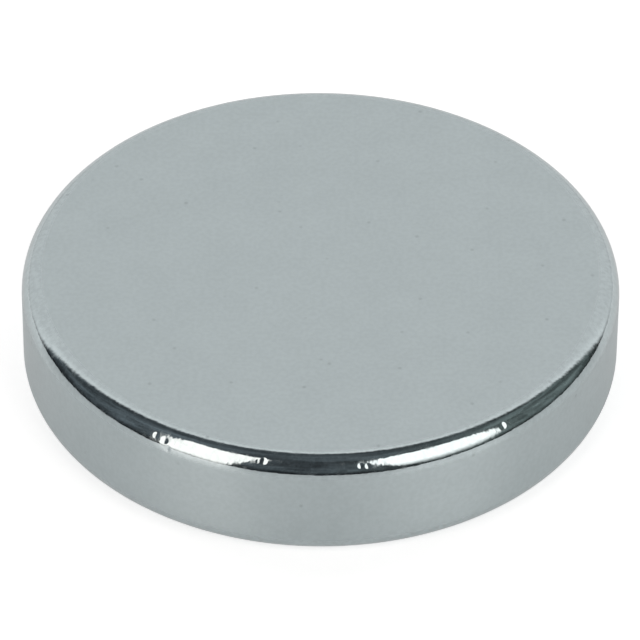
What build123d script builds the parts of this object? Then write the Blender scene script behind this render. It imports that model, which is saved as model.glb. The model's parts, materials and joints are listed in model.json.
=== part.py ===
from build123d import *

import os

# A disc magnet: one pressed and sintered disc with flat pole faces, tumbled until
# both of its edges are round, and plated all over. It is a single piece.
#
# Units are millimetres. The origin is the centre of the lower pole face, and +Z is
# the disc's axis, so the disc lies on the plane z = 0.

# Driving dimensions
DIAMETER = 10.0  # across the wall
THICKNESS = 2.0  # from one pole face to the other
EDGE_RADIUS = 0.4  # of the round left on each edge by tumbling

with BuildPart() as disc_magnet:
    # The pressed blank: a plain disc, sharp where the wall meets each pole face.
    with BuildSketch(Plane.XY):
        Circle(radius=DIAMETER / 2)
    extrude(amount=THICKNESS)

    # Tumbling rounds the two circular edges alike and leaves the faces flat.
    pole_face_edges = disc_magnet.edges().filter_by(GeomType.CIRCLE)
    fillet(pole_face_edges, radius=EDGE_RADIUS)

disc_magnet.part.label = "disc_magnet"

os.makedirs("parts", exist_ok=True)
export_step(disc_magnet.part, "parts/disc_magnet.step")
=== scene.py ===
import json
from math import cos, pi, radians, sin

import bpy
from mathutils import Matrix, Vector, noise


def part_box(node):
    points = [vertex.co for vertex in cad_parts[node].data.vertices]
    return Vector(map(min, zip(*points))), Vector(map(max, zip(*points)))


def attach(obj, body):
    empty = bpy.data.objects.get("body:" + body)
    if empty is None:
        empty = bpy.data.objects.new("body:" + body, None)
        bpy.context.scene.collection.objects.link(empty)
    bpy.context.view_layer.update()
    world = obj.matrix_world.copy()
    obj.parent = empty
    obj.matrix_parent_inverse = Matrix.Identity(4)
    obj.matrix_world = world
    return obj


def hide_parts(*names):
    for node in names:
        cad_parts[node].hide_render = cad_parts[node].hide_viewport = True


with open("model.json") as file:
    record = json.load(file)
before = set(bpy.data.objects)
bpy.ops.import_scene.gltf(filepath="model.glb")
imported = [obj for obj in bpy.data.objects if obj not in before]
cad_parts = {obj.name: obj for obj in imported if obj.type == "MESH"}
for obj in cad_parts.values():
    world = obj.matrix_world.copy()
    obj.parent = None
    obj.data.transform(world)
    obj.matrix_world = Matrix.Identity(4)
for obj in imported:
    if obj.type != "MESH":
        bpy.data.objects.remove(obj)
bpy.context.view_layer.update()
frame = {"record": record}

MM = 0.001
MICRON = 0.000001

# ---------------------------------------------------------------- the disc's sizes
lowest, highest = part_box("disc_magnet")
RADIUS = (highest.x - lowest.x) / 2
THICKNESS = highest.z - lowest.z
CENTRE = (lowest + highest) / 2
WALL_LENGTH = next(
    mount["dims"]["length_mm"] * MM
    for mount in frame["record"]["mounts"]
    if mount["name"] == "outer_wall"
)
EDGE_RADIUS = (THICKNESS - WALL_LENGTH) / 2

# ---------------------------------------------------------------- the disc's mesh
FACE_STEPS = 128  # squares across a pole face; its outline then has four times as many
EDGE_RINGS = 16  # rings down each rounded edge
WALL_RINGS = 12  # rings down the wall
WEAR_SIZE = 0.45 * MM  # how far apart the dips left by tumbling are
WEAR_DEPTH = 2.4 * MICRON  # how deep they are on the rounded edge
SECOND_WEAR = 0.22 * MM  # a finer set of dips between them
SECOND_DEPTH = 1.0 * MICRON
SECOND_SHIFT = Vector((7.0, 3.0, 5.0))  # keeps the finer dips from lining up with the others


def face_point(across, along):
    """Maps a square from -1 to 1 onto a disc of radius 1, with its outline evenly spaced."""
    if across == 0 and along == 0:
        return 0.0, 0.0
    if abs(across) > abs(along):
        reach, turn = across, pi / 4 * along / across
    else:
        reach, turn = along, pi / 2 - pi / 4 * across / along
    return reach * cos(turn), reach * sin(turn)


def outline_indices(start):
    """The grid's outer points in order round the disc, from -45 degrees."""
    side = FACE_STEPS + 1
    last = FACE_STEPS
    right = [row * side + last for row in range(last)]
    top = [last * side + last - column for column in range(last)]
    left = [(last - row) * side for row in range(last)]
    bottom = list(range(last))
    return [start + index for index in right + top + left + bottom]


def edge_profile():
    """(radius, height, tilt) down the outside from the upper face's outline to the lower one's."""
    core = RADIUS - EDGE_RADIUS
    profile = []
    for ring in range(EDGE_RINGS + 1):
        tilt = pi / 2 * ring / EDGE_RINGS
        height = THICKNESS - EDGE_RADIUS * (1 - cos(tilt))
        profile.append((core + EDGE_RADIUS * sin(tilt), height, tilt))
    for ring in range(1, WALL_RINGS + 1):
        height = THICKNESS - EDGE_RADIUS - WALL_LENGTH * ring / WALL_RINGS
        profile.append((RADIUS, height, pi / 2))
    for ring in range(1, EDGE_RINGS + 1):
        tilt = pi / 2 * (1 + ring / EDGE_RINGS)
        height = EDGE_RADIUS * (1 + cos(tilt))
        profile.append((core + EDGE_RADIUS * sin(tilt), height, tilt))
    return profile


def tumbling_wear(point):
    """How deep tumbling has worn the rounded edge at a point, from 0."""
    coarse = 0.5 + 0.5 * noise.noise(point / WEAR_SIZE)
    fine = 0.5 + 0.5 * noise.noise(point / SECOND_WEAR + SECOND_SHIFT)
    return WEAR_DEPTH * coarse + SECOND_DEPTH * fine


def build_disc():
    """The plated disc: two pole faces of even squares, joined by rings down the edges and wall."""
    points, edge_share, polygons = [], [], []
    side = FACE_STEPS + 1
    core = RADIUS - EDGE_RADIUS
    for height in (THICKNESS, 0.0):
        for row in range(side):
            for column in range(side):
                x, y = face_point(2 * column / FACE_STEPS - 1, 2 * row / FACE_STEPS - 1)
                points.append(Vector((core * x, core * y, height)))
                edge_share.append(0.0)
    for face in (0, 1):
        for row in range(FACE_STEPS):
            for column in range(FACE_STEPS):
                a = face * side * side + row * side + column
                square = (a, a + 1, a + 1 + side, a + side)
                polygons.append(square if face == 0 else square[::-1])

    profile = edge_profile()
    segments = 4 * FACE_STEPS
    rings = [outline_indices(0)]
    for radius, height, tilt in profile[1:-1]:
        ring = []
        for segment in range(segments):
            turn = 2 * pi * segment / segments - pi / 4
            outward = Vector((cos(turn), sin(turn), 0.0))
            normal = outward * sin(tilt) + Vector((0.0, 0.0, cos(tilt)))
            spot = outward * radius + Vector((0.0, 0.0, height))
            bend = sin(2 * tilt) ** 2  # 0 on the faces and the wall, 1 halfway round an edge
            ring.append(len(points))
            points.append(spot - normal * tumbling_wear(spot) * bend)
            edge_share.append(bend)
        rings.append(ring)
    rings.append(outline_indices(side * side))
    for upper, lower in zip(rings, rings[1:]):
        for segment in range(segments):
            after = (segment + 1) % segments
            polygons.append((upper[segment], lower[segment], lower[after], upper[after]))

    mesh = bpy.data.meshes.new("magnet_disc")
    mesh.from_pydata([tuple(point) for point in points], [], polygons)
    mesh.polygons.foreach_set("use_smooth", [True] * len(polygons))
    share = mesh.attributes.new("edge_share", "FLOAT", "POINT")
    share.data.foreach_set("value", edge_share)
    mesh.validate()
    disc = bpy.data.objects.new("magnet_disc", mesh)
    bpy.context.scene.collection.objects.link(disc)
    return disc


# ---------------------------------------------------------------- materials
NICKEL = (0.419, 0.469, 0.479, 1.0)  # the plating, as it looks with white all round it
GLANCING_TINT = (0.8, 0.8, 0.8, 1.0)  # keeps the plating from paling where it is seen at a slant
BURNISH = (0.01, 0.25)  # the edge_share at which the burnish begins, and at which it is full

# Roughness: satin on the faces and the wall, and burnished, with duller specks, on the edges.
FACE_ROUGHNESS = 0.35
FACE_DRIFT = 0.02  # how far the satin strays from that either way
CLOUD_SIZE = 1.6 * MM  # of the satin's patches
EDGE_ROUGHNESS = 0.07
SPECK_ROUGHNESS = 0.16
SPECK_SIZE = 0.12 * MM
SPECK_SPAN = (0.45, 0.75)  # the noise at which a speck begins, and at which it is full

# Relief: how far apart its bumps are, and how deep.
PEEL_SIZE = 0.5 * MM
PEEL_DEPTH = 1.5 * MICRON
RIPPLE_SIZE = 0.16 * MM
RIPPLE_DEPTH = 2.2 * MICRON
HAMMERED_SIZE = 0.1 * MM  # on the burnished edges only
HAMMERED_DEPTH = 1.1 * MICRON

# Tone: how much lighter or darker the plating is from place to place, as a share.
MOTTLE_SIZE = 0.7 * MM
MOTTLE = 0.015
FINE_SIZE = 0.08 * MM
FINE_ON_FACES = 0.025
FINE_ON_EDGES = 0.045
PIT_TONE = 0.82  # in the middle of a pit

# Pits and stray knocks are scattered: how far apart their cells are, how large they
# are at most, and which share of the cells holds one.
PITS = (0.4 * MM, 0.06 * MM, 0.5)
STRAY_KNOCKS = (0.7 * MM, 0.07 * MM, 0.35)

MOST_NOISE = (0.3, 0.7)  # nearly all of a noise's values are between these

# Small knocks on the upper edge: degrees round from the camera's side, degrees down
# the edge from the upper face, and radius.
DINGS = (
    (-32.6, 52.0, 0.07 * MM),
    (-30.6, 55.0, 0.08 * MM),
    (-29.6, 72.0, 0.07 * MM),
    (-11.8, 47.0, 0.035 * MM),
    (-10.6, 45.0, 0.07 * MM),
    (7.8, 51.0, 0.06 * MM),
    (9.2, 53.0, 0.06 * MM),
    (37.4, 46.0, 0.08 * MM),
)
DING_DEPTH = 6.0 * MICRON  # of these and of the stray knocks


def add(tree, kind, inputs=None, **settings):
    """Adds a node. Each input is a number or colour, or another node's output to link."""
    made = tree.nodes.new(kind)
    for name, value in settings.items():
        setattr(made, name, value)
    for name, value in (inputs or {}).items():
        if isinstance(value, bpy.types.NodeSocket):
            tree.links.new(value, made.inputs[name])
        else:
            made.inputs[name].default_value = value
    return made


def empty_material(name):
    """A material with nodes and nothing in it yet but its output."""
    material = bpy.data.materials.new(name)
    material.use_nodes = True
    material.node_tree.nodes.clear()
    output = add(material.node_tree, "ShaderNodeOutputMaterial")
    return material, material.node_tree, output


def maths(tree, operation, first, second=0.0, third=0.0):
    """The output of a Math node."""
    return add(tree, "ShaderNodeMath", {0: first, 1: second, 2: third}, operation=operation).outputs[0]


def vectors(tree, operation, first, second=(0.0, 0.0, 0.0)):
    """The output of a Vector Math node: a number for a length, distance or dot product."""
    made = add(tree, "ShaderNodeVectorMath", {0: first, 1: second}, operation=operation)
    is_number = operation in ("LENGTH", "DISTANCE", "DOT_PRODUCT")
    return made.outputs["Value" if is_number else "Vector"]


def spread(tree, value, low, high, to_low=0.0, to_high=1.0):
    """Maps value from low..high to to_low..to_high, with smooth ends."""
    numbers = {"Value": value, "From Min": low, "From Max": high, "To Min": to_low, "To Max": to_high}
    return add(tree, "ShaderNodeMapRange", numbers, interpolation_type="SMOOTHSTEP").outputs["Result"]


def blend(tree, share, first, second, kind="RGBA"):
    """Mixes two colours, or two numbers where kind is FLOAT."""
    numbers = {"Factor": share, "A": first, "B": second}
    return add(tree, "ShaderNodeMix", numbers, data_type=kind).outputs["Result"]


def grain(tree, place, size, detail=2.0, roughness=0.5):
    """A noise whose blobs are about that size, in the units of place."""
    numbers = {"Vector": place, "Scale": 1 / size, "Detail": detail, "Roughness": roughness}
    return add(tree, "ShaderNodeTexNoise", numbers).outputs["Fac"]


def specks(tree, place, spacing, size, share):
    """Round specks of up to that size in that share of cells: 1 in their middle, 0 around them."""
    cells = add(tree, "ShaderNodeTexVoronoi", {"Vector": place, "Scale": 1 / spacing})
    chosen = add(tree, "ShaderNodeSeparateColor", {"Color": cells.outputs["Color"]}).outputs["Red"]
    near = spread(tree, cells.outputs["Distance"], 0.0, size / spacing, 1.0, 0.0)
    return maths(tree, "MULTIPLY", near, maths(tree, "LESS_THAN", chosen, share))


def bump(tree, height, depth, normal=None):
    """Adds height, from 0 to 1, as relief of that depth in metres."""
    numbers = {"Height": height, "Distance": depth, "Strength": 1.0}
    if normal is not None:
        numbers["Normal"] = normal
    return add(tree, "ShaderNodeBump", numbers).outputs["Normal"]


def edge_point(around, down):
    """The point on the upper edge at that many degrees round it and down it."""
    turn, tilt = radians(around), radians(down)
    radius = RADIUS - EDGE_RADIUS + EDGE_RADIUS * sin(tilt)
    height = THICKNESS - EDGE_RADIUS + EDGE_RADIUS * cos(tilt)
    return sin(turn) * radius, -cos(turn) * radius, height


def knocks(tree, place):
    """The knocks on the upper edge, and stray ones anywhere: 1 in their middle, 0 around them."""
    height = specks(tree, place, *STRAY_KNOCKS)
    for around, down, radius in DINGS:
        away = vectors(tree, "DISTANCE", place, edge_point(around, down))
        height = maths(tree, "MAXIMUM", height, spread(tree, away, 0.0, radius, 1.0, 0.0))
    return height


def nickel_plating():
    """Bright nickel: satin and faintly mottled on the faces and wall, burnished on the edges."""
    material, tree, output = empty_material("nickel_plating")
    place = add(tree, "ShaderNodeTexCoord").outputs["Object"]
    edge = add(tree, "ShaderNodeAttribute", attribute_name="edge_share").outputs["Fac"]
    burnish = spread(tree, edge, *BURNISH)

    normal = bump(tree, grain(tree, place, PEEL_SIZE, detail=3.0), PEEL_DEPTH)
    normal = bump(tree, grain(tree, place, RIPPLE_SIZE), RIPPLE_DEPTH, normal)
    hammered = maths(tree, "MULTIPLY", grain(tree, place, HAMMERED_SIZE, detail=1.0), burnish)
    normal = bump(tree, hammered, HAMMERED_DEPTH, normal)
    unknocked = maths(tree, "SUBTRACT", 1.0, knocks(tree, place))
    normal = bump(tree, unknocked, DING_DEPTH, normal)

    cloud = grain(tree, place, CLOUD_SIZE, detail=4.0, roughness=0.6)
    satin = spread(tree, cloud, *MOST_NOISE, FACE_ROUGHNESS - FACE_DRIFT, FACE_ROUGHNESS + FACE_DRIFT)
    duller = spread(tree, grain(tree, place, SPECK_SIZE, detail=1.0), *SPECK_SPAN)
    polished = blend(tree, duller, EDGE_ROUGHNESS, SPECK_ROUGHNESS, "FLOAT")
    roughness = blend(tree, burnish, satin, polished, "FLOAT")

    mottle = grain(tree, place, MOTTLE_SIZE, detail=5.0, roughness=0.7)
    mottle = spread(tree, mottle, *MOST_NOISE, 1.0 - MOTTLE, 1.0 + MOTTLE)
    fine = spread(tree, grain(tree, place, FINE_SIZE, detail=1.0), *MOST_NOISE, -1.0, 1.0)
    fine_share = blend(tree, burnish, FINE_ON_FACES, FINE_ON_EDGES, "FLOAT")
    fine = maths(tree, "MULTIPLY_ADD", fine, fine_share, 1.0)
    pits = spread(tree, specks(tree, place, *PITS), 0.0, 1.0, 1.0, PIT_TONE)
    tone = maths(tree, "MULTIPLY", maths(tree, "MULTIPLY", mottle, pits), fine)
    colour = vectors(tree, "MULTIPLY", NICKEL[:3], tone)
    numbers = {
        "Base Color": colour,
        "Metallic": 1.0,
        "Roughness": roughness,
        "Normal": normal,
        "Specular Tint": GLANCING_TINT,
    }
    shader = add(tree, "ShaderNodeBsdfPrincipled", numbers)
    tree.links.new(shader.outputs["BSDF"], output.inputs["Surface"])
    return material


# ---------------------------------------------------------------- studio
# The studio is painted by direction, as seen from the disc. A direction's height is 0 level
# with the disc and 1 straight up, and its reach is how far it points along BACKDROP_LEAN.
WHITE = (1.0, 1.0, 1.0, 1.0)
BACKDROP_LEAN = (-0.025, 1.0, 0.245)  # the white backdrop stands behind the disc and leans over it
BACKDROP_EDGE = (0.41, 0.52)  # the reach at which the room ends, and at which the backdrop is whole
RIM = (0.52, 0.7)  # the reach at which its lit rim is brightest, and at which it ends
RIM_LIGHT = 1.2
FLANK = (0.5, 0.68)  # the reach at which its flanks are greyest, and at which they end
FLANK_GREY = (0.65, 0.08)  # how much light it loses down at the floor, at each of the two
FLANK_HEIGHT = 0.2  # the height at which it loses none

ROOM_LEFT = (0.154, 0.177, 0.195, 1.0)  # the unlit room on the camera's side
ROOM_MIDDLE = (0.103, 0.117, 0.128, 1.0)
ROOM_RIGHT = (0.217, 0.257, 0.252, 1.0)
ROOM_SPAN = 0.9  # how far to the side the left and right colours are whole
ROOM_LOW_LIGHT = 0.2  # how much of its light is left down at the floor
ROOM_LOW_HEIGHT = 0.35  # the height at which all of it is there
BESIDE = (0.1, 0.38)  # the reach at which it darkens towards the backdrop, and is darkest
BESIDE_LIGHT = 0.7
CLUTTER_SIZE = 0.3  # this and FOLD_SIZE are for a room one unit away
CLUTTER_LIGHT = (0.7, 1.4)
FOLD_SIZE = 0.035
FOLD_LEAN = 0.15  # how much the folds change with height, against the way round: 0 is upright
FOLD_LIGHT = (0.75, 1.3)
MIDDLE_NOISE = (0.35, 0.65)  # most of a noise's values are between these

LEFT_LAMP = (2.4, 2.25, 2.15, 1.0)
RIGHT_LAMP = (2.4, 2.35, 2.3, 1.0)

# Each softbox: its azimuth, elevation, half width, half height, squareness (2 is an ellipse)
# and softness, the heights between which its light fades in, and its light.
SOFTBOXES = (
    (-43.5, 26.0, 0.25, 0.65, 6.0, 0.06, -0.1, 0.2, LEFT_LAMP),
    (46.5, 33.0, 0.36, 0.54, 2.4, 0.05, 0.06, 0.5, RIGHT_LAMP),
)

FLOOR_RADIUS = 0.5
FLOOR_SIDES = 96
FLOOR_GAP = 2 * MICRON
FLOOR_COLOUR = (0.62, 0.62, 0.62, 1.0)
FLOOR_ROUGHNESS = 0.33
FLOOR_IOR = 1.85
PICTURE_LIFT = 0.66  # what is added to the lit floor in the picture, so that it is white
MIRROR_LIFT = 0.44  # what is added to it where the metal mirrors it
SHADOW_FADE = (1.5 * RADIUS, 4.0 * RADIUS)  # where the shadow in the picture begins to fade, and ends


def direction(azimuth, elevation):
    """The unit vector towards a place in the studio: azimuth 0 is the camera's side, 90 the right."""
    a, e = radians(azimuth), radians(elevation)
    return Vector((sin(a) * cos(e), -cos(a) * cos(e), sin(e)))


def softbox(tree, towards, azimuth, elevation, half_width, half_height, squareness, softness):
    """A soft lamp that faces the disc: 1 within its rounded frame and 0 outside it.

    The half sizes are for a lamp one unit away.
    """
    ahead = direction(azimuth, elevation)
    level = Vector((0.0, 0.0, 1.0)).cross(ahead).normalized()
    above = ahead.cross(level)
    depth = vectors(tree, "DOT_PRODUCT", towards, ahead)
    total = 0.0
    for axis, half in ((level, half_width), (above, half_height)):
        offset = maths(tree, "DIVIDE", vectors(tree, "DOT_PRODUCT", towards, axis), depth)
        share = maths(tree, "ABSOLUTE", maths(tree, "DIVIDE", offset, half))
        total = maths(tree, "ADD", total, maths(tree, "POWER", share, squareness))
    frame_share = maths(tree, "POWER", total, 1 / squareness)
    lit = spread(tree, frame_share, 1.0 - softness, 1.0 + softness, 1.0, 0.0)
    return maths(tree, "MULTIPLY", lit, maths(tree, "GREATER_THAN", depth, 0.0))


def unlit_room(tree, towards, height, reach):
    """The dark room on the camera's side, with soft clutter in it and upright folds, like curtains.

    It is darkest low down, and darker beside the backdrop.
    """
    across = vectors(tree, "DOT_PRODUCT", towards, (1.0, 0.0, 0.0))
    left = blend(tree, spread(tree, across, -ROOM_SPAN, 0.0), ROOM_LEFT, ROOM_MIDDLE)
    room = blend(tree, spread(tree, across, 0.0, ROOM_SPAN), left, ROOM_RIGHT)
    low = spread(tree, height, 0.0, ROOM_LOW_HEIGHT, ROOM_LOW_LIGHT, 1.0)
    beside = spread(tree, reach, *BESIDE, 1.0, BESIDE_LIGHT)
    clutter = grain(tree, towards, CLUTTER_SIZE, detail=1.0)
    clutter = spread(tree, clutter, *MIDDLE_NOISE, *CLUTTER_LIGHT)
    around = vectors(tree, "NORMALIZE", vectors(tree, "MULTIPLY", towards, (1.0, 1.0, 0.0)))
    lean = vectors(tree, "MULTIPLY", towards, (0.0, 0.0, FOLD_LEAN))
    folds = grain(tree, vectors(tree, "ADD", around, lean), FOLD_SIZE, detail=1.0)
    folds = spread(tree, folds, *MIDDLE_NOISE, *FOLD_LIGHT)
    uneven = maths(tree, "MULTIPLY", clutter, folds)
    shade = maths(tree, "MULTIPLY", uneven, maths(tree, "MULTIPLY", low, beside))
    return vectors(tree, "MULTIPLY", room, shade)


def white_backdrop(tree, height, reach):
    """The backdrop is white, with a lit rim, and greyer where it meets the floor at its flanks."""
    near_floor = spread(tree, height, 0.0, FLANK_HEIGHT, 1.0, 0.0)
    flank = spread(tree, reach, *FLANK, *FLANK_GREY)
    grey = maths(tree, "MULTIPLY", near_floor, flank)
    rim = spread(tree, reach, *RIM, RIM_LIGHT, 1.0)
    return maths(tree, "SUBTRACT", rim, grey)


def studio_world():
    """The studio that lights the disc and that the metal mirrors. The picture's ground is white."""
    world = bpy.data.worlds.new("studio")
    bpy.context.scene.world = world
    world.use_nodes = True
    tree = world.node_tree
    tree.nodes.clear()
    towards = add(tree, "ShaderNodeTexCoord").outputs["Generated"]
    height = vectors(tree, "DOT_PRODUCT", towards, (0.0, 0.0, 1.0))
    reach = vectors(tree, "DOT_PRODUCT", towards, BACKDROP_LEAN)
    room = unlit_room(tree, towards, height, reach)
    backdrop = white_backdrop(tree, height, reach)
    colour = blend(tree, spread(tree, reach, *BACKDROP_EDGE), room, backdrop)
    for *place, fade_from, fade_to, lamp in SOFTBOXES:
        lit = softbox(tree, towards, *place)
        lit = maths(tree, "MULTIPLY", lit, spread(tree, height, fade_from, fade_to))
        colour = blend(tree, lit, colour, lamp)
    seen = add(tree, "ShaderNodeLightPath").outputs["Is Camera Ray"]
    colour = blend(tree, seen, colour, WHITE)
    background = add(tree, "ShaderNodeBackground", {"Color": colour, "Strength": 1.0})
    output = add(tree, "ShaderNodeOutputWorld")
    tree.links.new(background.outputs["Background"], output.inputs["Surface"])


def floor_material():
    """Pale satin board, lifted towards white where it is seen or mirrored. It keeps the shadow.

    The camera sees it matte, so that no lamp shines on it in the picture.
    """
    material, tree, output = empty_material("floor_white")
    rays = add(tree, "ShaderNodeLightPath").outputs
    seen = rays["Is Camera Ray"]
    satin = {"Base Color": FLOOR_COLOUR, "Roughness": FLOOR_ROUGHNESS, "IOR": FLOOR_IOR}
    board = add(tree, "ShaderNodeBsdfPrincipled", satin).outputs[0]
    matte = add(tree, "ShaderNodeBsdfDiffuse", {"Color": FLOOR_COLOUR}).outputs[0]
    surface = add(tree, "ShaderNodeMixShader", {0: seen, 1: board, 2: matte}).outputs[0]
    mirrored = maths(tree, "MAXIMUM", rays["Is Glossy Ray"], rays["Is Transmission Ray"])
    strength = maths(tree, "MULTIPLY", mirrored, MIRROR_LIFT)
    strength = maths(tree, "MULTIPLY_ADD", seen, PICTURE_LIFT, strength)
    lift = add(tree, "ShaderNodeEmission", {"Color": WHITE, "Strength": strength}).outputs[0]
    shadowed = add(tree, "ShaderNodeAddShader", {0: surface, 1: lift}).outputs[0]
    white = add(tree, "ShaderNodeEmission", {"Color": WHITE, "Strength": 1.0}).outputs[0]
    place = add(tree, "ShaderNodeTexCoord").outputs["Object"]
    fade = spread(tree, vectors(tree, "LENGTH", place), *SHADOW_FADE)
    fade = maths(tree, "MULTIPLY", fade, seen)
    shown = add(tree, "ShaderNodeMixShader", {0: fade, 1: shadowed, 2: white}).outputs[0]
    tree.links.new(shown, output.inputs["Surface"])
    return material


def build_floor():
    """A round floor just under the disc."""
    mesh = bpy.data.meshes.new("studio_floor")
    turns = [2 * pi * side / FLOOR_SIDES for side in range(FLOOR_SIDES)]
    ring = [(FLOOR_RADIUS * cos(turn), FLOOR_RADIUS * sin(turn), 0.0) for turn in turns]
    mesh.from_pydata(ring, [], [tuple(range(FLOOR_SIDES))])
    mesh.materials.append(floor_material())
    floor = bpy.data.objects.new("studio_floor", mesh)
    floor.location.z = lowest.z - FLOOR_GAP
    bpy.context.scene.collection.objects.link(floor)


# ---------------------------------------------------------------- camera
CAMERA_ELEVATION = radians(39.88)
CAMERA_DISTANCE = 20.4 * RADIUS
CAMERA_LENS = 341.35  # millimetres, on Blender's usual 36 mm sensor
CAMERA_ROLL = radians(0.355)
CAMERA_REACH = 10.0
AIM_BELOW = 0.02454 * RADIUS  # the camera aims a little under the disc's centre
AIM_LEFT = 0.00155 * RADIUS


def build_camera():
    """The camera stands on the -Y side and looks down on the disc through a long lens."""
    data = bpy.data.cameras.new("camera")
    data.lens = CAMERA_LENS
    data.clip_start = CAMERA_DISTANCE / 100
    data.clip_end = CAMERA_REACH
    camera = bpy.data.objects.new("camera", data)
    back = Vector((0.0, -cos(CAMERA_ELEVATION), sin(CAMERA_ELEVATION)))
    up = Vector((0.0, sin(CAMERA_ELEVATION), cos(CAMERA_ELEVATION)))
    aim = CENTRE - up * AIM_BELOW - Vector((1.0, 0.0, 0.0)) * AIM_LEFT
    camera.location = CENTRE + back * CAMERA_DISTANCE
    look = (camera.location - aim).normalized()
    turned = look.to_track_quat("Z", "Y").to_matrix()
    camera.rotation_euler = turned.to_euler()
    camera.rotation_euler.rotate_axis("Z", CAMERA_ROLL)
    bpy.context.scene.collection.objects.link(camera)
    bpy.context.scene.camera = camera


bpy.context.scene.view_settings.view_transform = "Standard"
build_camera()
studio_world()
build_floor()

disc = build_disc()
disc.data.materials.append(nickel_plating())
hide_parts("disc_magnet")
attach(disc, "root")
